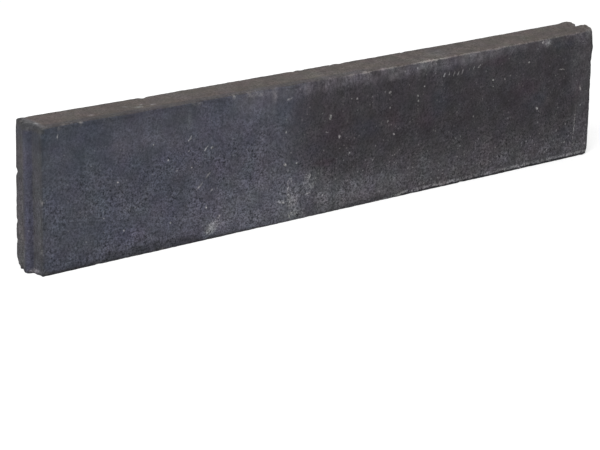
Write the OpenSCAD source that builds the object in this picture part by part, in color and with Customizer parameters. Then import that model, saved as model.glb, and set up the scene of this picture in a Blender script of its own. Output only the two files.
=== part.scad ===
// Edging kerb stone of dark concrete, cast in one piece.
// It stands on its narrow foot. A half-round tongue stands out of one end over its full height,
// towards -X, and the other end has the groove that takes the tongue of the next stone in the row.
// Millimetres, +X along the stone, +Z up, origin under the middle of the whole stone.

/* [Stone] */
// Length of the body, from the shoulders beside the tongue to the far end
stone_length = 1000; // [300:10:1200]
// Thickness from face to face
stone_thickness = 60; // [45:1:150]
// Height from foot to top
stone_height = 200; // [100:5:400]

/* [Arrises] */
// Rounding of the two long edges along the top
top_arris = 4; // [1:0.5:15]
// Rounding of the top edges across both ends and over the tongue
end_top_arris = 5; // [1:0.5:15]
// Rounding of the four upright edges at the ends
upright_arris = 3; // [1:0.5:10]
// Rounding of the edges around the foot
foot_arris = 2; // [0.5:0.5:10]

/* [End joint] */
// Width of the half-round tongue, which stands out of its end by half of that
tongue_width = 18; // [10:0.5:30]
// Room that the groove leaves all round a tongue
joint_clearance = 1; // [0.5:0.25:3]

/* [Hidden] */
$fn = 96;

// How far a cut or a root runs past the face that it crosses
overrun = 5;
tongue_radius = tongue_width / 2;
groove_radius = tongue_radius + joint_clearance;
// The whole stone, from the tongue's nose to the far end
overall_length = stone_length + tongue_radius;
nose_x = -overall_length / 2;
shoulder_x = nose_x + tongue_radius;
far_end_x = overall_length / 2;
body_middle_x = (shoulder_x + far_end_x) / 2;
// Rounding over the top of the tongue, which leaves a flat in its middle
widest_nose_arris = 0.8 * tongue_radius;
nose_top_arris = min(end_top_arris, widest_nose_arris);
nose_foot_arris = min(foot_arris, widest_nose_arris);
// The tongue's root starts this far inside the body, behind the rounded edges of the shoulders
root_inset = max(end_top_arris, foot_arris) + overrun;

// Waste that is cut away to round a square corner: the corner is at the origin,
// and the panel lies towards +X and +Y.
module corner_waste(radius) {
    difference() {
        translate([-overrun, -overrun])
            square(radius + overrun);
        translate([radius, radius])
            circle(radius);
    }
}

// Upright panel, centred on X and standing on the X axis,
// with one radius on its two lower corners and another on its two upper corners.
module rounded_panel(width, height, lower_radius, upper_radius) {
    difference() {
        translate([-width / 2, 0])
            square([width, height]);
        for (side = [0, 1]) {
            mirror([side, 0])
                translate([-width / 2, 0])
                    corner_waste(lower_radius);
            mirror([side, 0])
                translate([-width / 2, height])
                    mirror([0, 1])
                        corner_waste(upper_radius);
        }
    }
}

// The body: its plan, its cross-section and its side view, each with rounded corners,
// carried through one another.
module body() {
    translate([body_middle_x, 0, 0])
        intersection() {
            translate([0, -stone_thickness / 2, 0])
                linear_extrude(stone_height)
                    rounded_panel(stone_length, stone_thickness, upright_arris, upright_arris);
            translate([-stone_length / 2, 0, 0])
                rotate([90, 0, 90])
                    linear_extrude(stone_length)
                        rounded_panel(stone_thickness, stone_height, foot_arris, top_arris);
            translate([0, stone_thickness / 2, 0])
                rotate([90, 0, 0])
                    linear_extrude(stone_thickness)
                        rounded_panel(stone_length, stone_height, foot_arris, end_top_arris);
        }
}

// Upright panel of the tongue's width, as seen from its end.
module tongue_panel() {
    rounded_panel(tongue_width, stone_height, nose_foot_arris, nose_top_arris);
}

// The tongue: half of its panel turned about the upright middle line of the shoulders,
// and the whole panel carried back into the body as its root.
module tongue() {
    translate([shoulder_x, 0, 0]) {
        rotate([0, 0, 90])
            rotate_extrude(angle = 180)
                intersection() {
                    tongue_panel();
                    square([tongue_width, stone_height]);
                }
        rotate([90, 0, 90])
            linear_extrude(root_inset)
                tongue_panel();
    }
}

// The groove, cut through from foot to top and open at the far end.
module groove() {
    translate([far_end_x, 0, -overrun])
        cylinder(h = stone_height + 2 * overrun, r = groove_radius);
}

module kerb_stone() {
    color("dimgray")
        union() {
            difference() {
                body();
                groove();
            }
            tongue();
        }
}

kerb_stone();
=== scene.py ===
import math

import bpy
import numpy as np
from mathutils import Matrix, Vector


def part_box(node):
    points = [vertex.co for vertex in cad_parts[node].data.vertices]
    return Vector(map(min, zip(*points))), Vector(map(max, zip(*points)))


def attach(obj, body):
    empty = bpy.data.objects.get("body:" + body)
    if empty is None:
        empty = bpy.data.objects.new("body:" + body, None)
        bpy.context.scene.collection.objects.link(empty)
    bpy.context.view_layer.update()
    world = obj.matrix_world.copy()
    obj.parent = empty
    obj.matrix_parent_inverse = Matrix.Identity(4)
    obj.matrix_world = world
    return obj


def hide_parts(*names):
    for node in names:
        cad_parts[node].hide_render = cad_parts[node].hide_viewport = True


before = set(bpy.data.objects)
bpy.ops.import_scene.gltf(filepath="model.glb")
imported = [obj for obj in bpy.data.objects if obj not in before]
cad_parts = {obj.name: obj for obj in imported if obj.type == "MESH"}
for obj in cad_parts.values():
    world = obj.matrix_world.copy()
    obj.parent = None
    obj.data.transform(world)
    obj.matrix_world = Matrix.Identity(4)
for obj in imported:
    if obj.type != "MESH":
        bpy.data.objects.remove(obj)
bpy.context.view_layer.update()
STONE_LOW, STONE_HIGH = (np.array(corner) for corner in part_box("kerb_stone"))

bl_info = {
    "name": "Concrete Kerb Stone",
    "version": (1, 0, 0),
    "blender": (4, 5, 0),
    "location": "View3D > Sidebar > Kerb Stone",
    "description": "Makes a weathered concrete edging kerb with a tongue and groove, and a studio for it",
    "category": "Add Mesh",
}

MM = 0.001
# The front face's place across the stone, and half the depth of a mark on it, in millimetres
FRONT_FACE = round(float(STONE_LOW[1]) / MM, 3)
MARK_DEPTH = 12.0

# Rows of the mesh beside an arris, as distances from the square edge in millimetres
TOP_ROWS = np.array([0.0, 0.9, 2.0, 3.3, 4.9, 7.0]) * MM
FOOT_ROWS = np.array([0.0, 0.6, 1.3, 2.2, 3.6, 5.6]) * MM
END_ROWS = TOP_ROWS
# Cells of the mesh on a shoulder, on the arc beside it, on half of the tongue or groove, along and up
SHOULDER_CELLS = 10
ROOT_CELLS = 3
NOSE_CELLS = 7
LENGTH_CELLS = 336
HEIGHT_CELLS = 62
# How far the bend of an end joint is felt along the top, and the nearness of an arris into a face, in metres
JOINT_REACH = 0.04
ARRIS_REACH = 4.5 * MM
# Least rounding of the groove's mouth deep in the stone, in metres
LEAST_MOUTH = 0.8 * MM
# Unevenness of the faces: height and wavelength in millimetres, seed
SWELLS = ((0.30, 150, 11), (0.18, 52, 12))
GRAINS = ((0.16, 13, 13), (0.12, 6.5, 14))
# Round pits: spacing, smallest and largest radius in metres, share of the places that hold one, seed
PITS = (21 * MM, 2.6 * MM, 4.4 * MM, 0.55, 21)
# Least and largest radius of an arris, and what two knocked corners of the front add, in metres
ARRIS_LIMITS = (0.7 * MM, 6.6 * MM)
KNOCKED_TONGUE = 1.6 * MM
KNOCKED_FAR = 2.4 * MM
# Mortar and burr at the tongue's foot: thickness and length in metres, and the burr's way along and across
MORTAR_DEPTH = 4.6 * MM
BURR_LENGTH = 2.4 * MM
BURR_WAY = np.array([-0.8, -0.6])
BLACK = (0.0, 0.0, 0.0)
# Values of the points that the material reads
MESH_VALUES = ("arris", "broken", "lime", "haze", "rust", "blue")
# Soft lamp's place and side and the floor's half width in metres, camera's sensor in millimetres
LAMP_PLACE = (-2.3, -2.0, 3.0)
LAMP_SIDE = 3.2
FLOOR_REACH = 14.0
SENSOR_WIDTH = 36.0

# Pale dots on the front face by their radius in millimetres: place along the stone and height
PALE_DOTS = {
    1.2: ((-258, 110), (-297, 127), (-401, 63), (-263, 134), (1, 94), (20, 165), (94, 159), (158, 163),
          (320, 150), (259, 101), (-282, 109), (-320, 152), (297, 142)),
    1.6: ((-378, 110), (-368, 40), (-293, 37), (-233, 47), (-97, 133), (-77, 85), (19, 84), (31, 163),
          (93, 140), (89, 120), (102, 99), (146, 150), (147, 142), (144, 192), (296, 152), (369, 169),
          (486, 84), (456, 28)),
    2.4: ((-224, 132), (-18, 141), (-98, 86), (0, 112), (92, 163), (392, 93), (396, 197)),
}
# Pale scratches on the front face: place, height, half length, half width in millimetres, lean in degrees
SCRATCHES = (
    (-261, 151, 5.5, 1.2, 55), (-231, 94, 6.5, 1.2, 45), (-244, 81, 7, 1.2, 42),
    (-224, 72, 3.5, 1.2, 48), (-92, 181, 5, 1.3, 14), (-24, 122, 3.5, 1.1, 0),
    (440, 148, 7, 1.1, -9), (475, 52, 31, 0.8, 88), (196, 174, 3.5, 1.1, 55), (206, 175, 3, 0.8, 78),
    (216, 174, 4.5, 1.4, 72), (224, 173, 4, 1.2, 66), (232, 174, 4.5, 1.4, 68), (246, 176, 3, 0.7, 70),
    (255, 177, 3, 0.8, 60), (266, 178, 4, 0.9, 52), (483, 112, 5.5, 1.5, -72), (-18, 144, 3.5, 2.0, 70),
    (-234, 133, 6, 1.0, 42), (-470, 187, 4, 0.8, 88), (-55, 36, 5, 1.1, 0), (-101, 30, 4.5, 1.7, -25),
    (-92, 58, 4.5, 1.0, 78), (-85, 59, 4, 1.0, 102), (-88, 64, 3, 1.0, 0), (-92, 50, 5, 1.2, 80),
    (-88, 8, 4, 1.0, 90), (-78, 8, 4, 1.0, 96), (-83, 13, 4, 1.0, 0), (-233, 49, 3, 1.2, 75),
    (-212, 30, 4, 1.3, 40),
)
# Lime crust, on the front face unless its place across the stone and its half depth follow:
# place, height, half width and half height in millimetres, strength
LIME_CRUSTS = (
    (-223, 17, 13, 12, 1.1), (-212, 23, 13, 9, 0.65), (-231, 12, 10, 8, 0.45), (-102, 31, 9, 6, 0.85),
    (-109, 34, 8, 4, 0.45), (-90, 29, 7, 14, 0.95), (-80, 29, 11, 16, 0.80), (-90, 40, 7, 9, 0.50),
    (-89, 50, 6, 7, 0.45), (-88, 62, 8, 6, 0.50), (-85, 9, 6, 11, 0.65), (-75, 12, 9, 7, 0.45),
    (-57, 61, 8, 8, 0.75), (-61, 51, 8, 10, 0.60), (-52, 45, 12, 8, 0.62), (-46, 54, 14, 14, 0.36),
    (-57, 35, 10, 5, 0.55), (-147, 195, 34, 8, 0.62), (-118, 188, 8, 12, 0.50), (405, 193, 11, 8, 1.0),
    (250, 196, 14, 6, 0.7), (-496, 3, 12, 6, 1.2, -14, 20), (-487, 201, 4, 6, 1.3, -6, 8),
    (-331, 202, 9, 6, 1.6, -10, 5), (-322, 202, 6, 6, 1.1, -2, 5), (-347, 202, 6, 6, 1.1, 0, 5),
    (-406, 202, 7, 6, 1.1, -10, 6),
    (-262, 202, 8, 6, 1.0, 27, 8), (-424, 202, 8, 6, 1.0, 27, 8), (-308, 202, 10, 6, 0.8, -8, 5),
)
# Thin haze, written in the same order as the lime crust
THIN_HAZES = (
    (-130, 34, 125, 56, 0.66), (-84, 46, 34, 40, 0.42), (-20, 26, 120, 38, 0.60), (-120, 110, 50, 70, 0.22),
    (-140, 184, 52, 28, 0.50), (-214, 18, 30, 22, 0.45), (-262, 176, 5, 18, 0.45), (-119, 182, 6, 22, 0.35),
    (90, 28, 110, 20, 0.26), (235, 190, 46, 8, 0.50), (150, 193, 34, 7, 0.50), (410, 20, 120, 32, 0.34),
    (480, 95, 26, 90, 0.20), (-390, 78, 55, 40, 0.20), (-270, 100, 32, 16, 0.20), (-250, 34, 30, 16, 0.22),
    (-165, 46, 30, 16, 0.22), (-84, 36, 30, 28, 0.30), (145, 46, 80, 20, 0.22), (250, 171, 28, 10, 0.20),
    (475, 166, 30, 24, 0.22), (-252, 202, 16, 8, 0.30, 6, 30), (-50, 202, 55, 8, 0.14, 0, 30),
    (205, 202, 36, 8, 0.42, -4, 28),
    (190, 27, 150, 17, 0.18), (-72, 6, 36, 9, 0.45), (455, 10, 60, 8, 0.25), (330, 194, 34, 8, 0.30),
)
# Stained fields on the front face: place, height, half width and half height in millimetres
RUST_FIELDS = (
    (-8, 129, 38, 30), (98, 122, 20, 20), (162, 112, 22, 15), (368, 130, 42, 17), (-25, 77, 26, 6),
    (300, 180, 30, 9), (-78, 33, 9, 13), (478, 112, 8, 12),
)
BLUE_FIELDS = (
    (46, 116, 36, 18), (385, 106, 30, 14), (190, 134, 22, 28), (456, 34, 20, 22), (200, 186, 40, 10),
    (440, 186, 24, 8),
)
# Placed chips, and lumps where the depth is negative: point, radius and depth in millimetres
NOTCHES = (
    (-495.5, 30, 130, 6, 2.2), (-495.5, 30, 62, 5, 1.4), (-300, 30, 200, 7, 1.8), (-484, -22, 201, 7, 1.6),
    (505, -30, 150, 5, 1.2), (505, 13, 203, 6.5, 5.0), (505, -30, 172, 8, -1.3), (-490, -30, 4, 6, 1.5),
    (-120, -30, 199, 6, 1.2), (300, -30, 199, 6, 1.3), (60, 30, 201, 8, 0.5), (-410, -30, 1, 6, 1.2),
    (240, -30, 1, 6, 1.2), (-497, 31, 2, 12, 2.8), (505, -30, 1, 9, 2.0),
)


def smooth(value, low, high):
    """Runs from 0 at low to 1 at high as 3t^2 - 2t^3, for low above or below high."""
    t = np.clip((value - low) / (high - low), 0.0, 1.0)
    return t * t * (3.0 - 2.0 * t)


def cell_values(cells, seed):
    """One value from 0 to 1 for each whole-number cell: its three indices and the seed are multiplied
    by large odd numbers, crossed, shifted and mixed again, and the low 24 bits are kept."""
    index = cells.astype(np.int64)
    mixed = index[..., 0] * 73856093 ^ index[..., 1] * 19349663 ^ index[..., 2] * 83492791 ^ seed * 2654435
    mixed = (mixed ^ (mixed >> 13)) * 1274126177
    mixed = mixed ^ (mixed >> 16)
    return (mixed & 0xFFFFFF) / 0xFFFFFF


def unevenness(points, wavelength, seed):
    """Smooth noise from -1 to 1: each corner of a lattice of cubes one wavelength wide has a value,
    and a point takes their mean, weighted along each axis by 6t^5 - 15t^4 + 10t^3."""
    scaled = points / wavelength
    cell = np.floor(scaled)
    t = scaled - cell
    t = t * t * t * (t * (t * 6.0 - 15.0) + 10.0)
    total = np.zeros(len(points))
    for corner in np.ndindex(2, 2, 2):
        share = np.prod(np.where(np.array(corner), t, 1.0 - t), axis=1)
        total += share * cell_values(cell + np.array(corner), seed)
    return 2.0 * total - 1.0


def pock_marks(points, spacing, smallest, largest, share, seed):
    """Depth from 0 to 1 of round pits: each cube of a lattice may hold one pit at a place and with a radius
    of its own, and inside the radius the depth is (1 - (distance / radius)^2)^2."""
    cell = np.floor(points / spacing)
    depth = np.zeros(len(points))
    for step in np.ndindex(3, 3, 3):
        home = cell + np.array(step) - 1
        place = np.stack([cell_values(home, seed + axis) for axis in range(3)], axis=1)
        centre = (home + place) * spacing
        radius = smallest + (largest - smallest) * cell_values(home, seed + 3)
        held = cell_values(home, seed + 4) < share
        ratio = np.linalg.norm(points - centre, axis=1) / radius
        depth = np.maximum(depth, held * np.clip(1.0 - ratio**2, 0.0, 1.0)**2)
    return depth


def box_skin(cells):
    """Numbers the nodes on the outside of a box that is divided into cells, and lists its outward quads.
    Each side is the grid of the two other axes, so sides share the nodes of their edges."""
    number = np.full([count + 1 for count in cells], -1)
    inner = tuple(slice(1, count) for count in cells)
    outside = np.ones(number.shape, bool)
    outside[inner] = False
    number[outside] = np.arange(outside.sum())
    quads = []
    for axis in range(3):
        for side in (0, -1):
            sheet = np.take(number, side, axis=axis)
            quad = np.stack([sheet[:-1, :-1], sheet[1:, :-1], sheet[1:, 1:], sheet[:-1, 1:]], axis=-1)
            quad = quad.reshape(-1, 4)
            turned = (side == 0) != (axis == 1)
            quads.append(quad[:, ::-1] if turned else quad)
    return np.argwhere(outside).T, np.concatenate(quads)


def point_normals(points, quads):
    """Mean outward direction at each point: the cross product of each quad's diagonals is added to
    its four points, and the sums are brought to length 1."""
    across = np.cross(points[quads[:, 2]] - points[quads[:, 0]], points[quads[:, 3]] - points[quads[:, 1]])
    total = np.zeros_like(points)
    for corner in range(4):
        np.add.at(total, quads[:, corner], across)
    return total / np.linalg.norm(total, axis=1, keepdims=True)


def graded_rows(length, low_rows, high_rows, cells):
    """Distances from 0 to length: the given rows at both ends, and even cells between them."""
    middle = np.linspace(low_rows[-1], length - high_rows[-1], cells + 1)
    return np.concatenate([low_rows[:-1], middle, (length - high_rows[:-1])[::-1]])


def shoulder_inset(order, width):
    """Distance from a long face to the node of that order on a shoulder: the arris rows first,
    and then even steps to the shoulder's full width."""
    last = len(END_ROWS) - 1
    graded = END_ROWS[np.minimum(order, last)]
    even = END_ROWS[-1] + (width - END_ROWS[-1]) * (order - last) / (SHOULDER_CELLS - last)
    return np.where(order <= last, graded, even)


def tongue_end(order, inset, shape, half):
    """Plan of the end with the tongue, moved into the stone by inset: a straight shoulder, a hollow arc
    of the root radius plus inset, and the tongue's arc of its radius less inset. Gives x and distance from
    the middle."""
    shoulder = STONE_LOW[0] + shape.tongue_radius
    radius, root = shape.tongue_radius, shape.root_radius
    reach = math.sqrt((radius + root)**2 - root**2)
    turn = np.clip((order - SHOULDER_CELLS) / ROOT_CELLS, 0, 1) * math.acos(root / (radius + root))
    first = math.asin(root / (radius + root))
    sweep = np.clip((order - SHOULDER_CELLS - ROOT_CELLS) / NOSE_CELLS, 0, 1)
    angle = first + (math.pi / 2 - first) * sweep
    on_shoulder = order <= SHOULDER_CELLS
    on_root = order <= SHOULDER_CELLS + ROOT_CELLS
    hollow_x = shoulder - root + (root + inset) * np.cos(turn)
    x = np.where(on_root, hollow_x, shoulder - (radius - inset) * np.sin(angle))
    y = np.where(on_root, reach - (root + inset) * np.sin(turn), (radius - inset) * np.cos(angle))
    x = np.where(on_shoulder, shoulder + inset, x)
    y = np.where(on_shoulder, half - shoulder_inset(order, half - reach), y)
    return x, y


def groove_end(order, inset, shape, half):
    """Plan of the end with the groove, moved into the stone by inset: a straight lip, a rounded mouth and
    the groove's arc of its radius plus inset. Gives x and distance from the middle."""
    end = STONE_HIGH[0]
    radius = shape.groove_radius
    depth = np.maximum(inset + LEAST_MOUTH, shape.mouth_arris)
    mouth = depth - inset
    reach = np.sqrt((radius + depth)**2 - depth**2)
    turn = np.clip((order - SHOULDER_CELLS) / ROOT_CELLS, 0, 1) * np.arccos(depth / (radius + depth))
    first = np.arcsin(depth / (radius + depth))
    sweep = np.clip((order - SHOULDER_CELLS - ROOT_CELLS) / NOSE_CELLS, 0, 1)
    angle = first + (math.pi / 2 - first) * sweep
    on_lip = order <= SHOULDER_CELLS
    on_mouth = order <= SHOULDER_CELLS + ROOT_CELLS
    x = np.where(on_mouth, end - depth + mouth * np.cos(turn), end - (radius + inset) * np.sin(angle))
    y = np.where(on_mouth, reach - mouth * np.sin(turn), (radius + inset) * np.cos(angle))
    x = np.where(on_lip, end - inset, x)
    y = np.where(on_lip, half - shoulder_inset(order, half - reach), y)
    return x, y


def arris_radius(rough, side, shape):
    """Radius of the arris at each rough place: it runs over from the foot's to the uprights' and the top's,
    wanders along the stone, and is larger where bits are broken off and at two knocked corners."""
    x, level = rough[:, 0], rough[:, 2]
    height = STONE_HIGH[2]
    radius = shape.foot_arris + (shape.upright_arris - shape.foot_arris) * smooth(level, 2 * MM, 14 * MM)
    top_arris = np.where(side > 0, shape.back_arris, shape.top_arris)
    radius = radius + (top_arris - shape.upright_arris) * smooth(level, height - 14 * MM, height - 3 * MM)
    wander = 1.0 + 0.14 * unevenness(rough, 60 * MM, 3) + 0.12 * unevenness(rough, 15 * MM, 4)
    broken = smooth(unevenness(rough, 12 * MM, 5), 0.50, 0.90)
    tongue_top = smooth(x, STONE_LOW[0] + 40 * MM, STONE_LOW[0]) * smooth(level, height - 20 * MM, height)
    far_corner = smooth(x, STONE_HIGH[0] - 20 * MM, STONE_HIGH[0]) * smooth(level, height - 26 * MM, height)
    knocked = (KNOCKED_TONGUE * tongue_top + KNOCKED_FAR * far_corner) * (side < 0)
    return np.clip(radius * wander + 1.1 * MM * broken + knocked, *ARRIS_LIMITS)


def kerb_surface(shape):
    """The whole skin of the stone on the nodes of a box: along, across and up.

    Every node knows its distances from the nearest end, long face and level face, and the rounding of an
    arris pulls the distances that are under its radius onto a sphere about the point one radius inside.
    The ends follow the plans of the tongue and the groove at the rounded distance, and the nodes between them
    run over to straight lines. Gives points, quads and the nearness to an arris.
    """
    half = STONE_HIGH[1]
    height = STONE_HIGH[2]
    levels = graded_rows(height, FOOT_ROWS, TOP_ROWS, HEIGHT_CELLS)
    end_cells = len(END_ROWS) - 1
    half_cells = SHOULDER_CELLS + ROOT_CELLS + NOSE_CELLS
    cells = (LENGTH_CELLS + 2 * end_cells, 2 * half_cells, len(levels) - 1)
    (along, across, up), quads = box_skin(cells)

    order = np.minimum(across, 2 * half_cells - across)
    side = np.sign(across - half_cells)
    from_left = along <= end_cells
    from_right = along >= cells[0] - end_cells
    from_end = np.minimum(along, cells[0] - along)
    inset = END_ROWS[np.minimum(from_end, end_cells)]
    depth = END_ROWS[np.minimum(order, end_cells)]
    level = levels[up]
    below_top = height - level

    rough_x = STONE_LOW[0] + (STONE_HIGH[0] - STONE_LOW[0]) * along / cells[0]
    rough = np.stack([rough_x, side * (half - depth), level], axis=1)
    radius = arris_radius(rough, side, shape)
    near = np.stack([inset, depth, np.minimum(level, below_top)], axis=1)
    short = np.clip(radius[:, None] - near, 0.0, None)
    length = np.linalg.norm(short, axis=1)
    pull = np.where(length > radius, radius / np.maximum(length, 1e-9), 1.0)
    rounded = np.where(short > 0, radius[:, None] - short * pull[:, None], near)
    second = np.sort(near, axis=1)[:, 1]
    arris = np.exp(-(second / ARRIS_REACH)**2)

    left_x, left_y = tongue_end(order, rounded[:, 0], shape, half)
    right_x, right_y = groove_end(order, rounded[:, 0], shape, half)
    first = STONE_LOW[0] + shape.tongue_radius + END_ROWS[-1]
    last = STONE_HIGH[0] - END_ROWS[-1]
    share = np.clip((along - end_cells) / LENGTH_CELLS, 0, 1)
    straight_x = first + (last - first) * share
    left_pull = np.clip(1 - (straight_x - first) / JOINT_REACH, 0, 1)**2
    right_pull = np.clip(1 - (last - straight_x) / JOINT_REACH, 0, 1)**2
    reach = math.sqrt((shape.tongue_radius + shape.root_radius)**2 - shape.root_radius**2)
    inner = reach * (half_cells - order) / (half_cells - SHOULDER_CELLS)
    straight_y = np.where(order <= SHOULDER_CELLS, half - shoulder_inset(order, half - reach), inner)
    x = straight_x + (left_x - first) * left_pull + (right_x - last) * right_pull
    y = straight_y + (left_y - straight_y) * left_pull + (right_y - straight_y) * right_pull
    x = np.where(from_left, left_x, np.where(from_right, right_x, x))
    y = np.where(from_left, left_y, np.where(from_right, right_y, y))
    y = np.where(order <= end_cells, half - rounded[:, 1], y)
    z = np.where(level < below_top, rounded[:, 2], height - rounded[:, 2])
    return np.stack([x, side * y, z], axis=1), quads, arris


def layered(points, layers):
    """Sum of smooth noises, each with its own height, wavelength and seed."""
    return sum(height * MM * unevenness(points, wavelength * MM, seed) for height, wavelength, seed in layers)


def weathered(points, quads, arris, shape):
    """Gives the clean skin the unevenness of a pressed and handled stone.

    Along the normals: long swells, a short grain, round pits and broken bits of the arrises, of which the
    small edges at the foot have room for little. Each placed chip moves its points one way, along their mean
    normal, so that no face folds over. Then the top and the ends are moved, and nothing is left under the
    floor. Gives the points and how freshly each is broken.
    """
    normals = point_normals(points, quads)
    pits = shape.pit_depth * pock_marks(points, *PITS)
    broken = smooth(unevenness(points, 8.5 * MM, 15), 0.42, 0.85) * arris
    ragged = 0.22 * MM * arris * unevenness(points, 5.0 * MM, 16)
    notched = np.zeros(len(points))
    sunk = np.zeros_like(points)
    for *place, radius, depth in NOTCHES:
        ratio = np.linalg.norm(points - np.array(place) * MM, axis=1) / (radius * MM)
        share = np.clip(1.0 - ratio**2, 0.0, 1.0)**2
        outward = share @ normals
        notched += depth * MM * share
        sunk += depth * MM * share[:, None] * outward / np.linalg.norm(outward)
    room = 0.2 + 0.8 * smooth(points[:, 2], 2 * MM, 12 * MM)
    push = layered(points, SWELLS) + layered(points, GRAINS) + ragged
    push = push - room * (pits + shape.chip_depth * broken)
    moved = points + normals * push[:, None] - sunk
    flash = lift_top(moved, points, shape)
    lean_ends(moved, points, shape)
    moved[:, 2] = np.maximum(moved[:, 2], 0.0)
    return moved, np.clip(broken + 0.6 * flash + 0.4 * notched / MM, 0, 1)


def lift_top(moved, points, shape):
    """Raises the moved points by their clean places: the top by a parabola that is lowest in the middle, and
    the grooved end's top edge by a ragged flash, whose lip changes across the stone. Gives how far each point
    belongs to the flash."""
    x, y, z = points.T
    height = STONE_HIGH[2]
    along = (x - STONE_LOW[0]) / (STONE_HIGH[0] - STONE_LOW[0])
    high = np.clip(z / height, 0, 1)**3
    moved[:, 2] += high * (shape.top_rise + shape.top_sag * (2 * along - 1)**2)
    near_end = smooth(x, STONE_HIGH[0] - 20 * MM, STONE_HIGH[0] - 8 * MM)
    flash = near_end * smooth(z, height - 12 * MM, height - 2 * MM)
    teeth = 0.75 + 0.45 * unevenness(points * np.array([1.0, 1.0, 0.0]), 7 * MM, 31)
    across = y / MM
    lip = 1.0 - 0.70 * smooth(across, 3, 14) + 0.16 * smooth(across, 14, 18) - 0.6 * smooth(across, -22, -30)
    lip += 0.22 * np.exp(-((across + 19) / 3)**2) - 0.42 * np.exp(-((across - 1) / 7)**2)
    moved[:, 2] += shape.flash_height * flash * lip * teeth
    return flash


def lean_ends(moved, points, shape):
    """Moves the ends out by their clean places: both swell towards the foot, and at the tongue's foot mortar
    fills the back and a burr stands out at the front."""
    x, y, z = points.T
    low = 1.0 - np.clip(z / STONE_HIGH[2], 0, 1)
    moved[:, 0] += shape.end_swell * smooth(low, 0.15, 0.9) * smooth(x, 0.3, STONE_HIGH[0])
    back_shoulder = smooth(y, 8 * MM, 14 * MM) * smooth(x, -0.45, STONE_LOW[0] + 12 * MM)
    moved[:, 0] -= shape.end_swell * (0.5 + 0.7 * low) * back_shoulder
    fillet = np.exp(-((y - 12 * MM) / (4.5 * MM))**2) * smooth(z, 20 * MM, 3 * MM)
    moved[:, 0] -= MORTAR_DEPTH * fillet * smooth(x, -0.480, -0.493)
    across = y / MM
    burr = smooth(z, 6 * MM, 1 * MM) * smooth(x, -0.490, -0.4955) * smooth(across, 4, -1)
    burr *= smooth(across, -24, -16) * (1.0 + 0.35 * unevenness(points, 6 * MM, 17))
    moved[:, :2] += BURR_LENGTH * burr[:, None] * BURR_WAY


def oval_distance(points, x, z, half_length, half_height, y=FRONT_FACE, half_depth=MARK_DEPTH):
    """Distance of each point from the middle of an oval on a face, 1 at its rim: the differences along the
    three axes are divided by the oval's half sizes, in millimetres, and the length of the result is taken."""
    middle = np.array([x, y, z]) * MM
    half_sizes = np.array([half_length, half_depth, half_height]) * MM
    return np.linalg.norm((points - middle) / half_sizes, axis=1)


def stains(points):
    """The broad stains as values of the points: the summed strengths of the lime crusts and thin hazes, each
    fading from its middle to just outside its rim, and the distance from the nearest rust and blue field."""
    lime, haze = np.zeros((2, len(points)))
    for total, ovals in ((lime, LIME_CRUSTS), (haze, THIN_HAZES)):
        for x, z, half_length, half_height, strength, *depth in ovals:
            distance = oval_distance(points, x, z, half_length, half_height, *depth)
            total += strength * smooth(distance, 1.2, 0.1)
    rust = np.min([oval_distance(points, *field) for field in RUST_FIELDS], axis=0)
    blue = np.min([oval_distance(points, *field) for field in BLUE_FIELDS], axis=0)
    return {"lime": lime, "haze": haze, "rust": np.minimum(rust, 3.0), "blue": np.minimum(blue, 3.0)}


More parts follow.
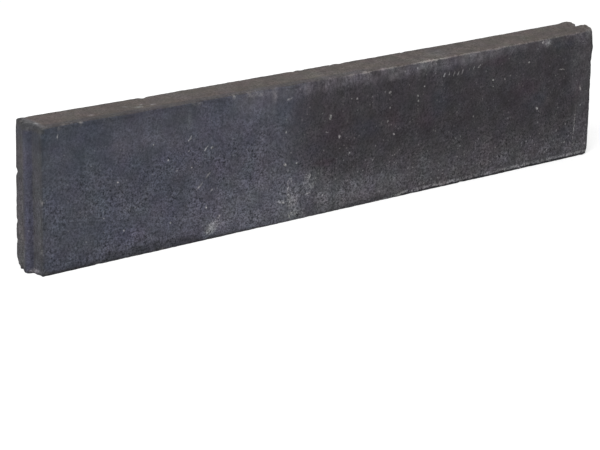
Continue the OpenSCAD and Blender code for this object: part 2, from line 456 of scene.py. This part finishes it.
class Wire:
    """One output of a shader tree. Plus, minus and times, also with plain numbers on either side, add Math
    nodes to the tree."""

    def __init__(self, tree, socket=None):
        self.tree = tree
        self.socket = socket

    def node(self, kind, settings=None, values=None, output=0):
        """Adds a shader node of a kind, sets its settings, fills its inputs by name or number with wires or
        values, and gives the wire of one of its outputs."""
        made = self.tree.nodes.new("ShaderNode" + kind)
        for name, value in (settings or {}).items():
            setattr(made, name, value)
        for key, value in (values or {}).items():
            if isinstance(value, Wire):
                self.tree.links.new(value.socket, made.inputs[key])
            else:
                made.inputs[key].default_value = value
        return Wire(self.tree, made.outputs[output] if made.outputs else None)

    def math(self, operation, *parts):
        return self.node("Math", {"operation": operation}, dict(enumerate(parts)))

    def vector(self, operation, values, output=0):
        return self.node("VectorMath", {"operation": operation}, values, output)

    def __add__(self, other):
        return self.math("ADD", self, other)

    def __radd__(self, other):
        return self.math("ADD", other, self)

    def __sub__(self, other):
        return self.math("SUBTRACT", self, other)

    def __rsub__(self, other):
        return self.math("SUBTRACT", other, self)

    def __mul__(self, other):
        return self.math("MULTIPLY", self, other)

    def __rmul__(self, other):
        return self.math("MULTIPLY", other, self)

    def least(self, other):
        return self.math("MINIMUM", self, other)

    def most(self, other):
        return self.math("MAXIMUM", self, other)

    def ramp(self, low, high):
        """Runs smoothly from 0 at low to 1 at high, for low above or below high."""
        start, stop, first, last = (low, high, 0.0, 1.0) if low < high else (high, low, 1.0, 0.0)
        ends = {1: start, 2: stop, 3: first, 4: last}
        return self.node("MapRange", {"interpolation_type": "SMOOTHSTEP"}, {0: self, **ends})

    def mix(self, base, colour, factor):
        """Lays a colour over a base by a factor from 0 to 1. Both are wires or plain colours."""
        base, colour = (part if isinstance(part, Wire) else opaque(part) for part in (base, colour))
        settings = {"data_type": "RGBA", "clamp_factor": True}
        return self.node("Mix", settings, {0: factor, 6: base, 7: colour}, 2)

    def over(self, colour, factor):
        """Lays a colour over this one by a factor from 0 to 1."""
        return self.mix(self, colour, factor)

    def shaded(self, factor):
        """Multiplies the three parts by one number, which may change over the surface."""
        return self.vector("SCALE", {0: self, 3: factor})

    def stretched(self, factors):
        """Multiplies each of the three parts by a number of its own."""
        return self.vector("MULTIPLY", {0: self, 1: factors})

    def part(self, axis):
        """One of the three parts of a vector."""
        return self.node("SeparateXYZ", None, {0: self}, axis)

    def noise(self, wavelength, detail=2.0, roughness=0.5):
        """Noise from 0 to 1 over a position in millimetres."""
        values = {"Vector": self, "Scale": 1.0 / wavelength, "Detail": detail, "Roughness": roughness}
        return self.node("TexNoise", None, values)

    def drift(self, wavelength, detail, span, start):
        """Three noises at once over a position in millimetres, each from its start to its start plus span."""
        values = {"Vector": self, "Scale": 1.0 / wavelength, "Detail": detail}
        noise = self.node("TexNoise", None, values, "Color")
        return self.vector("MULTIPLY_ADD", {0: noise, 1: span, 2: start})

    def grains(self, spacing, channel):
        """Round grains at a mean spacing in millimetres: the distance from the nearest middle, and a value of
        each grain's own from one channel of its random colour."""
        values = {"Vector": self, "Scale": 1.0 / spacing}
        distance = self.node("TexVoronoi", None, values)
        pick = self.node("TexVoronoi", None, values, "Color")
        return distance, self.node("SeparateColor", None, {0: pick}, channel)

    def field(self, x, z, half_length, half_height, lean=0.0):
        """Distance from the middle of an oval on the front face, 1 at its rim: the position is moved, turned
        and scaled to the oval and its length is taken."""
        turn = (0.0, -math.radians(lean), 0.0)
        values = {0: self, 1: (x, FRONT_FACE, z), 2: turn, 3: (half_length, MARK_DEPTH, half_height)}
        local = self.node("Mapping", {"vector_type": "TEXTURE"}, values)
        return self.vector("LENGTH", {0: local}, 1)

    def distance(self, x, z):
        """Distance from a point of the front face."""
        return self.vector("DISTANCE", {0: self, 1: (x, FRONT_FACE, z)}, 1)


def nearest(distances):
    """The least of several wires."""
    first, *others = distances
    for other in others:
        first = first.least(other)
    return first


def opaque(colour):
    """A plain colour with full alpha."""
    return (*colour, 1.0)


def empty_tree(owner):
    """Gives a material or world an empty shader tree, as a wire to make its nodes with."""
    owner.use_nodes = True
    owner.node_tree.nodes.clear()
    return Wire(owner.node_tree)


class ConcreteSkin:
    """What the layers of the concrete share: places in millimetres, the values kept on the mesh, patterns of
    noise, and how far a point belongs to the tongue end, the top, the dark half and the foot's lines."""

    def __init__(self, make):
        self.make = make
        place = make.node("TexCoord", None, None, "Object")
        self.mm = mm = place.shaded(1.0 / MM)
        self.x, self.y, self.z = x, y, z = [mm.part(axis) for axis in range(3)]
        self.upward = make.node("NewGeometry", None, None, "Normal").part(2)
        self.arris, self.broken, self.lime, self.haze, self.rust, self.blue = (
            make.node("Attribute", {"attribute_name": name}, None, "Fac") for name in MESH_VALUES)

        # Patterns: soft clouds, a short grain, upright streaks, and ragged edges for every placed mark
        self.clouds = mm.noise(85.0)
        self.patches = mm.noise(34.0)
        self.mottle = mottle = mm.noise(17.0, 3.0, 0.6)
        self.grain = grain = mm.noise(4.2, 3.0, 0.75)
        self.fine = mm.noise(2.1, 1.0)
        self.speckle = grain.ramp(0.28, 0.72)
        self.streak = mm.stretched((1.0, 1.0, 0.06)).noise(4.5)
        shift = mm.drift(4.0, 2.0, (4.0, 0.0, 4.0), (-2.0, 0.0, -2.0))
        self.loose = mm.vector("ADD", {0: mm, 1: shift})

        # Tongue end, top and the front of the top
        self.side = side = y.math("ABSOLUTE", y)
        self.end = x.ramp(-493, -496)
        top_rim = (side + 1.6 * (mottle - 0.5) + 1.2 * (grain - 0.5)).ramp(29.4, 28.0)
        dry_nose = y.ramp(-4, 4) * y.ramp(16, 10)
        top_end = x + 6.0 * dry_nose + 5.0 * (mottle - 0.5)
        self.top = self.upward.ramp(0.35, 0.75) * top_rim * top_end.ramp(-494.5, -489.5)
        self.front_top = y.ramp(-16, -26) * z.ramp(180, 194)

        # The dark half, and the lines along the foot, of which the thinnest is a painted contact shadow
        meeting = x + 110.0 * (self.clouds - 0.5) + 50.0 * (mottle - 0.5) + 30.0 * (grain - 0.5)
        self.dark = meeting.ramp(-135, -15)
        self.foot = z + 6.0 * (mottle - 0.5) + 3.0 * (grain - 0.5)
        # Painted contact shadow: a thin line along the foot, a little higher towards the grooved end
        line_height = 0.8 * x.ramp(105, 130) + 0.6 * x.ramp(380, 430)
        self.foot_shadow_line = (z + 2.4 * (grain - 0.5) - line_height).ramp(3.6, 1.4)
        self.bare_foot = x.ramp(-140, -115) * x.ramp(-40, -65) * z.ramp(14, 8)


def long_faces(skin, tone):
    """Front and back: blue grey, then brown black, lighter again towards the foot and the far end, with rust
    and blue fields, damp along the foot, and a thin painted contact shadow at the foot."""
    x, foot, mottle = skin.x, skin.foot, skin.mottle
    dark_side = skin.make.mix(tone.brown_black, tone.foot_grey, skin.z.ramp(100, 14) * 0.75)
    dark_side = dark_side.over(tone.foot_grey, x.ramp(440, 500) * 0.45)
    blue_side = skin.make.mix(tone.blue_grey, tone.violet_grey, skin.clouds.ramp(0.42, 0.62) * 0.7)
    colour = blue_side.over(dark_side, skin.dark)
    frayed = 1.4 * (mottle - 0.5) + 0.5 * (skin.grain - 0.5)
    colour = colour.over(tone.rust, (skin.rust + frayed).ramp(1.25, 0.35) * 0.50)
    colour = colour.over(tone.blue_black, (skin.blue + frayed).ramp(1.25, 0.35) * 0.38)
    damp_and_shadow = (skin.loose.field(-335.0, 3.0, 130.0, 13.0) + 0.8 * (mottle - 0.5)).ramp(1.05, 0.55)
    foot_line = foot.ramp(6.6, 2.4) * x.ramp(-160, -215)
    middle_line = foot.ramp(9.0, 5.5) * x.ramp(-20, 20) * x.ramp(125, 105) * 0.7
    # The thin line at the foot is painted contact shadow, the wider bands are damp
    foot_shadow_line = skin.foot_shadow_line * (1.0 - 0.5 * skin.bare_foot)
    damp_and_shadow = (damp_and_shadow * 0.75).most(foot_line).most(middle_line).most(foot_shadow_line)
    return colour.over(tone.damp_and_shadow, damp_and_shadow * 0.76)


def tongue_half(skin, tone, colour):
    """Tongue end: neutral shoulders beside a bluer tongue, lighter than the front faces partly as painted
    light, with painted shade in the hollows at the tongue's root and on its rounded top. Beside it the blue
    half is darker under the top, duller towards the end and paler below."""
    x, z, side, end = skin.x, skin.z, skin.side, skin.end
    middle = side.ramp(10.2, 8.4)
    back = skin.y.ramp(-6, 4)
    # Painted shade in the hollows beside the tongue's root, on both sides of the tongue
    crease_shade = end * side.ramp(4.0, 8.6) * side.ramp(11.0, 9.4)
    # Shoulder tones lighter than the front faces: partly the end's own tone, partly painted light on the end
    # face
    colour = colour.over(tone.shoulder, end * 0.85)
    colour = colour.over(tone.lit_back_shoulder, end * back * 0.9)
    colour = colour.over(tone.tongue, end * middle * (1.0 - back) * 0.9)
    # Upright streaks on the end, less the painted shade of the root hollows
    colour = colour.shaded(1.0 + end * (skin.streak - 0.5) * 0.5 - 0.20 * crease_shade)
    upper = z.ramp(155, 192) * x.ramp(-110, -230)
    colour = colour.over(tone.blue_black, upper * 0.5)
    # Painted shade on the rounded top of the tongue and its shoulders, just under the rim
    colour = colour.over(tone.nose_top_shade, z.ramp(192, 198) * x.ramp(-487, -493) * 0.85)
    duller = 0.09 * x.ramp(-370, -450) + 0.055 * z.ramp(80, 112) * z.ramp(165, 135)
    paler = 0.07 * z.ramp(84, 60) * x.ramp(-430, -370) * (1.0 - skin.dark)
    colour = colour.shaded(1.0 - duller + paler)
    teal = colour.stretched((0.90, 0.965, 0.965))
    return colour.over(teal, x.ramp(-360, -430) * (1.0 - end) * z.ramp(30, 70))


def dry_top(skin, tone, colour):
    """Top: drier and browner, darker along its front edge at the tongue end."""
    x = skin.x
    brown = skin.make.mix(BLACK, tone.top_brown, 1.0 - 0.07 * x.ramp(-240, -400))
    shade = skin.y.ramp(-13, -22) * x.ramp(110, 10)
    brown = brown.over(tone.foot_grey, shade * 0.75)
    brown = brown.shaded(1.0 - 0.14 * shade * x.ramp(-130, -280))
    brown = brown.over(tone.dry_rim, x.ramp(-481, -489))
    return colour.over(brown, skin.top)


def lime_and_marks(skin, tone, colour):
    """Lime haze and crust, scratches and dots, each with ragged edges."""
    mottle, speckle, loose = skin.mottle, skin.speckle, skin.loose
    colour = colour.over(tone.haze, skin.haze.least(0.9) * (0.25 + 0.65 * mottle))
    crust = skin.lime.least(1.2) * (0.05 + 0.65 * mottle + 0.35 * speckle)
    colour = colour.over(tone.lime, crust.ramp(0.06, 0.80) * 0.62)
    marks = nearest(loose.field(*scratch) for scratch in SCRATCHES).ramp(1.3, 0.4) * 0.8
    for radius, places in PALE_DOTS.items():
        dots = nearest(loose.distance(*dot) for dot in places)
        marks = marks.most(dots.ramp(1.25 * radius, 0.5 * radius))
    return colour.over(tone.pale_grain, marks * (0.30 + 0.36 * speckle))


def worn_edges(skin, tone, colour):
    """Wear and smears along the front of the top, strongest right of the middle, darker colour along the
    other arrises, a dark line under the top of the blue half, and freshly broken bits."""
    x, y, z, arris, mottle, grain = skin.x, skin.y, skin.z, skin.arris, skin.mottle, skin.grain
    worn_here = 0.15 * x.ramp(-70, -20) + 0.60 * x.ramp(0, 60) + 0.40 * x.ramp(110, 180)
    worn_here = worn_here - 0.60 * x.ramp(190, 300) + 0.15 * x.ramp(310, 360)
    worn_here = worn_here - 0.25 * x.ramp(370, 430)
    worn_here = worn_here * (0.5 + 0.5 * mottle.ramp(0.30, 0.60))
    line = (arris + 0.7 * (grain - 0.5) + 0.5 * (mottle - 0.5)).ramp(0.66, 1.0) * skin.front_top
    line = line * (0.45 + 0.55 * skin.upward.ramp(0.15, 0.75))
    colour = colour.over(tone.worn, line * worn_here * (1.0 - 0.3 * skin.top) * 0.60)
    far = x.ramp(270, 330)
    band = (z - 6.0 * far).ramp(176, 191) * x.ramp(-210, 40) * (1.0 - 0.5 * far)
    band = band * (1.0 - 0.3 * x.ramp(90, 130) * x.ramp(220, 190))
    smears = (0.5 * mottle + 0.5 * skin.streak).ramp(0.36, 0.62)
    colour = colour.over(tone.smear, band * (1.0 - skin.top) * (0.4 + 0.6 * smears) * 0.38)
    # Darker along the arrises, less so along the front of the top and at the bare foot
    arris_darkening = arris * (1.0 - skin.front_top * (0.6 + 0.3 * x.ramp(-300, 60)))
    arris_darkening = arris_darkening * (1.0 - 0.7 * skin.bare_foot)
    colour = colour.over(tone.damp_and_shadow, arris_darkening * 0.42)
    edge_line = z.ramp(193.5, 196.5) * z.ramp(201.5, 199.5) * y.ramp(-28.6, -29.4) * x.ramp(-150, -240)
    colour = colour.shaded(1.0 - 0.15 * edge_line)
    return colour.over(tone.broken, skin.broken * grain.ramp(0.30, 0.60) * 0.55)


def foot_edge(skin, tone, colour):
    """Pale chips along the foot right of the middle, and a painted contact shadow under them and at the
    tongue end.
    """
    x = skin.x
    chip_height = skin.foot + 1.5 - 5.8 * x.ramp(80, 140)
    chips = chip_height.ramp(5.0, 2.4) * chip_height.ramp(-2.0, -0.4) * x.ramp(55, 75)
    chips = chips * (1.0 - 0.35 * x.ramp(225, 245) * x.ramp(335, 315))
    colour = colour.over(tone.lime, chips * skin.grain.ramp(0.36, 0.58) * 0.42)
    dark_foot = 0.72 * x.ramp(105, 130) + 0.28 * x.ramp(190, 240)
    dark_foot = dark_foot.most(x.ramp(-285, -225) * x.ramp(-100, -165) * 0.7)
    dark_foot = dark_foot.most(x.ramp(-430, -465) * 0.8)
    # Painted contact shadow: the thin line along the foot, stronger in some stretches
    return colour.over(tone.damp_and_shadow, skin.foot_shadow_line * dark_foot * 0.85)


def sand_and_pores(skin, tone, colour):
    """Pale grains of sand, pores darkened with painted shade, specks and blotches, coarser towards the foot,
    and a soft change of tint. Gives the colour and the height of the relief."""
    x, z, dark, mottle, patches = skin.x, skin.z, skin.dark, skin.mottle, skin.patches
    sand, sand_pick = skin.mm.grains(4.6, 0)
    sand = sand.ramp(0.38, 0.10) * (sand_pick + 0.06 * dark + 0.5 * (mottle - 0.5)).ramp(0.84, 1.0)
    pores, pore_pick = skin.loose.grains(5.4, 1)
    pores = pores.ramp(0.42, 0.14) * pore_pick.ramp(0.40, 0.85)
    open_skin = (patches.ramp(0.34, 0.64) * 0.75 + 0.35) * (1.0 - 0.55 * skin.end)
    low_left = (0.55 + 0.48 * z.ramp(185, 90)) * (1.0 - 0.1 * x.ramp(-390, -430))
    smooth_foot = z.ramp(34, 20) * x.ramp(-10, 30) * x.ramp(125, 95)
    low_right = 0.58 + 0.54 * z.ramp(115, 35) - 0.32 * smooth_foot
    coarse = low_left + dark * (low_right - low_left)
    colour = colour.over(tone.pale_grain, sand * (0.16 + 0.11 * dark) * coarse)
    speckled = (1.1 * (skin.speckle - 0.5) + 1.25 * (skin.fine - 0.5)) * coarse
    # The pores darken the colour as painted shade in the small pits, which also go into the relief
    depth = (1.0 - 0.62 * pores * open_skin * coarse) * (1.02 + speckled * (0.45 + 0.55 * open_skin))
    blotches = (0.62 + 0.30 * dark) * (mottle - 0.5) + 0.42 * (patches - 0.5) + 0.45 * (skin.clouds - 0.5)
    colour = colour.shaded(depth * (1.0 + blotches))
    tint = skin.mm.drift(30.0, 1.0, (0.16,) * 3, (0.92,) * 3)
    relief = (skin.grain * 0.55 - pores * 0.75) * coarse + mottle * 0.35 + sand * 0.10
    return colour.stretched(tint), relief


def concrete_material(tone):
    """Dark concrete, laid in layers: the long faces, the tongue half, the top, lime and marks, worn edges,
    the foot's edge, and sand and pores over all, which also make the relief."""
    material = bpy.data.materials.new("weathered_concrete")
    make = empty_tree(material)
    skin = ConcreteSkin(make)
    colour = long_faces(skin, tone)
    for layer in (tongue_half, dry_top, lime_and_marks, worn_edges, foot_edge):
        colour = layer(skin, tone, colour)
    colour, relief = sand_and_pores(skin, tone, colour)
    roughness = 0.95 - 0.14 * skin.grain - 0.10 * skin.arris
    bump = make.node("Bump", None, {"Strength": 0.75, "Distance": 0.9 * MM, "Height": relief})
    surface = make.node("BsdfPrincipled", None, {
        "Base Color": colour, "Roughness": roughness, "Specular IOR Level": 0.22, "Normal": bump})
    make.node("OutputMaterial", None, {"Surface": surface})
    return material


def new_piece(name, points, faces):
    """A mesh object at the origin, made from points in metres and lists of their numbers."""
    mesh = bpy.data.meshes.new(name)
    mesh.vertices.add(len(points))
    mesh.vertices.foreach_set("co", np.ascontiguousarray(points, dtype=np.float32).ravel())
    corners = faces.shape[1]
    mesh.loops.add(faces.size)
    mesh.loops.foreach_set("vertex_index", faces.ravel().astype(np.int32))
    mesh.polygons.add(len(faces))
    mesh.polygons.foreach_set("loop_start", np.arange(0, faces.size, corners, dtype=np.int32))
    mesh.update(calc_edges=True)
    mesh.validate()
    piece = bpy.data.objects.new(name, mesh)
    bpy.context.scene.collection.objects.link(piece)
    return piece


def store_values(mesh, name, values):
    """Keeps one number for each point of a mesh, for its material."""
    attribute = mesh.attributes.new(name, "FLOAT", "POINT")
    attribute.data.foreach_set("value", np.ascontiguousarray(values, dtype=np.float32))


def length_value(name, description, default):
    """A length in metres that a user may change."""
    return bpy.props.FloatProperty(name=name, description=description, default=default, unit="LENGTH",
                                   subtype="DISTANCE", precision=4)


def angle_value(name, description, degrees):
    """An angle that a user may change."""
    return bpy.props.FloatProperty(name=name, description=description, default=math.radians(degrees),
                                   subtype="ANGLE")


def colour_value(name, description, default):
    """A plain colour that a user may change."""
    return bpy.props.FloatVectorProperty(name=name, description=description, default=default, subtype="COLOR",
                                         size=3, min=0.0, max=1.0)


class KerbShape(bpy.types.PropertyGroup):
    """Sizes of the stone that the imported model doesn't fix, and its wear."""
    tongue_radius: length_value("Tongue radius", "Radius of the half-round tongue", 9 * MM)
    groove_radius: length_value("Groove radius", "Radius of the groove that takes a tongue", 10 * MM)
    root_radius: length_value("Root radius", "Hollow between the tongue and its shoulders", 1.6 * MM)
    mouth_arris: length_value("Mouth arris", "Rounding of the groove's two mouth edges", 1.8 * MM)
    top_arris: length_value("Top arris", "Rounding of the edges round the top", 4.0 * MM)
    upright_arris: length_value("Upright arris", "Rounding of the four upright edges", 1.6 * MM)
    foot_arris: length_value("Foot arris", "Rounding of the edges round the foot", 1.0 * MM)
    back_arris: length_value("Back arris", "Rounding of the long edge at the back of the top", 2.4 * MM)
    top_rise: length_value("Top rise", "How far the middle of the top stands over its drawn height", 0.7 * MM)
    top_sag: length_value("Top sag", "How far the middle of the top lies under its ends", 2.0 * MM)
    flash_height: length_value("Flash height", "Rise of the flash on the grooved end's top edge", 5.2 * MM)
    end_swell: length_value("End swell", "How far the ends lean out at the foot", 3.2 * MM)
    pit_depth: length_value("Pit depth", "Depth of the larger pits", 1.0 * MM)
    chip_depth: length_value("Chip depth", "Depth of the broken bits along the arrises", 1.1 * MM)


class KerbTone(bpy.types.PropertyGroup):
    """Colours of the concrete."""
    blue_grey: colour_value("Blue grey", "Faces at the tongue end", (0.0622, 0.065, 0.0855))
    violet_grey: colour_value("Violet grey", "Clouds in the blue grey", (0.0695, 0.068, 0.0865))
    brown_black: colour_value("Brown black", "Faces at the grooved end", (0.040, 0.0365, 0.0418))
    foot_grey: colour_value("Foot grey", "Lower part of the dark faces", (0.072, 0.068, 0.074))
    rust: colour_value("Rust", "Reddish fields", (0.047, 0.035, 0.044))
    blue_black: colour_value("Blue black", "Bluish fields in the dark face", (0.043, 0.045, 0.060))
    # Used for damp along the foot, the darker arrises, and the painted contact shadow at the foot
    damp_and_shadow: colour_value("Damp", "Damp along the foot, and grime", (0.022, 0.022, 0.025))
    # Both shoulder tones are lighter than the front faces, partly as painted light on the end face
    shoulder: colour_value("Shoulder", "Front shoulder beside the tongue", (0.074, 0.073, 0.081))
    lit_back_shoulder: colour_value("Dry shoulder", "Back shoulder beside the tongue", (0.089, 0.085, 0.090))
    tongue: colour_value("Tongue", "Front side of the tongue", (0.066, 0.067, 0.097))
    # Painted shade on the rounded top of the tongue and its shoulders
    nose_top_shade: colour_value("Nose top", "Rounded top of the tongue and its shoulders", (0.061, 0.059, 0.061))
    top_brown: colour_value("Top brown", "Top face", (0.101, 0.087, 0.081))
    dry_rim: colour_value("Dry rim", "Rim of the top along the tongue end", (0.102, 0.099, 0.102))
    smear: colour_value("Smear", "Smears under the worn edge of the top", (0.187, 0.174, 0.190))
    haze: colour_value("Haze", "Thin lime haze", (0.125, 0.125, 0.142))
    lime: colour_value("Lime", "Lime crust, and chips along the foot", (0.30, 0.295, 0.305))
    worn: colour_value("Worn edge", "Worn front edge of the top", (0.33, 0.30, 0.28))
    pale_grain: colour_value("Pale grain", "Pale grains, dots and scratches", (0.42, 0.41, 0.41))
    broken: colour_value("Broken", "Freshly broken edges", (0.19, 0.18, 0.175))


class KerbStudio(bpy.types.PropertyGroup):
    """Camera, floor and light."""
    camera_place: bpy.props.FloatVectorProperty(
        name="Camera place", description="Where the camera stands", default=(-1.84509, -2.28543, 0.97503),
        unit="LENGTH", subtype="TRANSLATION", precision=4)
    camera_turn: angle_value("Camera turn", "Heading, from the back towards the grooved end", 38.2342)
    camera_dip: angle_value("Camera dip", "How far the view points down", 18.9255)
    camera_roll: angle_value("Camera roll", "Turn about the line of sight", 1.4372)
    lens: bpy.props.FloatProperty(
        name="Lens", description="Focal length on a sensor 36 mm wide", default=127.21, subtype="NONE")
    sky: bpy.props.FloatProperty(
        name="Sky", description="Even light from all round", default=0.50, min=0.0, subtype="FACTOR")
    softbox: bpy.props.FloatProperty(
        name="Softbox", description="Power of the large soft lamp", default=125.0, min=0.0, unit="POWER")
    floor_colour: colour_value("Floor", "Plain pale floor", (0.86, 0.86, 0.86))
    floor_lift: bpy.props.FloatProperty(
        name="Floor lift", description="Light that the floor shows to the camera alone, up to plain white",
        default=0.42, min=0.0, max=1.0, subtype="FACTOR")


class KERB_OT_stone(bpy.types.Operator):
    """Make the kerb stone and its concrete"""
    bl_idname = "kerb.make_stone"
    bl_label = "Make Kerb Stone"

    def execute(self, context):
        shape = context.scene.kerb_shape
        points, quads, arris = kerb_surface(shape)
        values = {"arris": arris, **stains(points)}
        points, values["broken"] = weathered(points, quads, arris, shape)
        if not np.isfinite(points).all():
            raise RuntimeError("The stone's surface has points without a place")
        stone = new_piece("weathered_kerb", points, quads)
        stone.data.polygons.foreach_set("use_smooth", np.ones(len(quads), bool))
        for name, value in values.items():
            store_values(stone.data, name, value)
        stone.data.materials.append(concrete_material(context.scene.kerb_tone))
        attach(stone, "root")
        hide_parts("kerb_stone")
        return {"FINISHED"}


class KERB_OT_studio(bpy.types.Operator):
    """Make the floor, the light and the camera"""
    bl_idname = "kerb.make_studio"
    bl_label = "Make Studio"

    def execute(self, context):
        studio = context.scene.kerb_studio
        self.lay_floor(studio)
        self.light(context, studio)
        self.point_camera(context, studio)
        context.scene.view_settings.view_transform = "Standard"
        return {"FINISHED"}

    def lay_floor(self, studio):
        corners = np.array([[-1.0, -1.0, 0.0], [1.0, -1.0, 0.0], [1.0, 1.0, 0.0], [-1.0, 1.0, 0.0]])
        floor = new_piece("studio_floor", FLOOR_REACH * corners, np.array([[0, 1, 2, 3]]))
        material = bpy.data.materials.new("pale_floor")
        make = empty_tree(material)
        matt = make.node("BsdfDiffuse", None, {"Color": opaque(studio.floor_colour)})
        seen = make.node("LightPath", None, None, "Is Camera Ray")
        lift = make.node("Emission", None, {"Strength": seen * studio.floor_lift})
        both = make.node("AddShader", None, {0: matt, 1: lift})
        make.node("OutputMaterial", None, {"Surface": both})
        floor.data.materials.append(material)

    def light(self, context, studio):
        world = bpy.data.worlds.new("studio_sky")
        make = empty_tree(world)
        camera, glossy, through = (
            make.node("LightPath", None, None, f"Is {ray} Ray")
            for ray in ("Camera", "Glossy", "Transmission"))
        shown = camera.most(glossy).most(through)
        strength = shown * (1.0 - studio.sky) + studio.sky
        sky = make.node("Background", None, {"Color": (1.0, 1.0, 1.0, 1.0), "Strength": strength})
        make.node("OutputWorld", None, {"Surface": sky})
        context.scene.world = world

        lamp = bpy.data.lights.new("softbox", "AREA")
        lamp.shape = "RECTANGLE"
        lamp.size = LAMP_SIDE
        lamp.size_y = LAMP_SIDE
        lamp.energy = studio.softbox
        softbox = bpy.data.objects.new("softbox", lamp)
        place = Vector(LAMP_PLACE)
        softbox.location = place
        softbox.rotation_euler = (-place).to_track_quat("-Z", "Y").to_euler()
        context.scene.collection.objects.link(softbox)

    def point_camera(self, context, studio):
        data = bpy.data.cameras.new("camera")
        data.sensor_width = SENSOR_WIDTH
        data.lens = studio.lens
        camera = bpy.data.objects.new("camera", data)
        turn = Matrix.Rotation(-studio.camera_turn, 4, "Z")
        dip = Matrix.Rotation(math.pi / 2 - studio.camera_dip, 4, "X")
        roll = Matrix.Rotation(studio.camera_roll, 4, "Z")
        camera.matrix_world = Matrix.Translation(studio.camera_place) @ (turn @ dip) @ roll
        context.scene.collection.objects.link(camera)
        context.scene.camera = camera


class KERB_PT_sidebar(bpy.types.Panel):
    """Sizes and colours of the kerb stone and its studio"""
    bl_idname = "KERB_PT_sidebar"
    bl_label = "Kerb Stone"
    bl_space_type = "VIEW_3D"
    bl_region_type = "UI"
    bl_category = "Kerb Stone"

    def draw(self, context):
        scene = context.scene
        for heading, group, operator in (
                ("Stone", scene.kerb_shape, "kerb.make_stone"),
                ("Concrete", scene.kerb_tone, None),
                ("Studio", scene.kerb_studio, "kerb.make_studio")):
            box = self.layout.box()
            box.label(text=heading)
            for name in group.__annotations__:
                box.prop(group, name)
            if operator:
                box.operator(operator)


CLASSES = (KerbShape, KerbTone, KerbStudio, KERB_OT_stone, KERB_OT_studio, KERB_PT_sidebar)


def register():
    for kind in CLASSES:
        bpy.utils.register_class(kind)
    bpy.types.Scene.kerb_shape = bpy.props.PointerProperty(type=KerbShape)
    bpy.types.Scene.kerb_tone = bpy.props.PointerProperty(type=KerbTone)
    bpy.types.Scene.kerb_studio = bpy.props.PointerProperty(type=KerbStudio)


def unregister():
    del bpy.types.Scene.kerb_studio
    del bpy.types.Scene.kerb_tone
    del bpy.types.Scene.kerb_shape
    for kind in reversed(CLASSES):
        bpy.utils.unregister_class(kind)


def main():
    register()
    bpy.ops.kerb.make_stone()
    bpy.ops.kerb.make_studio()


if __name__ == "__main__":
    main()
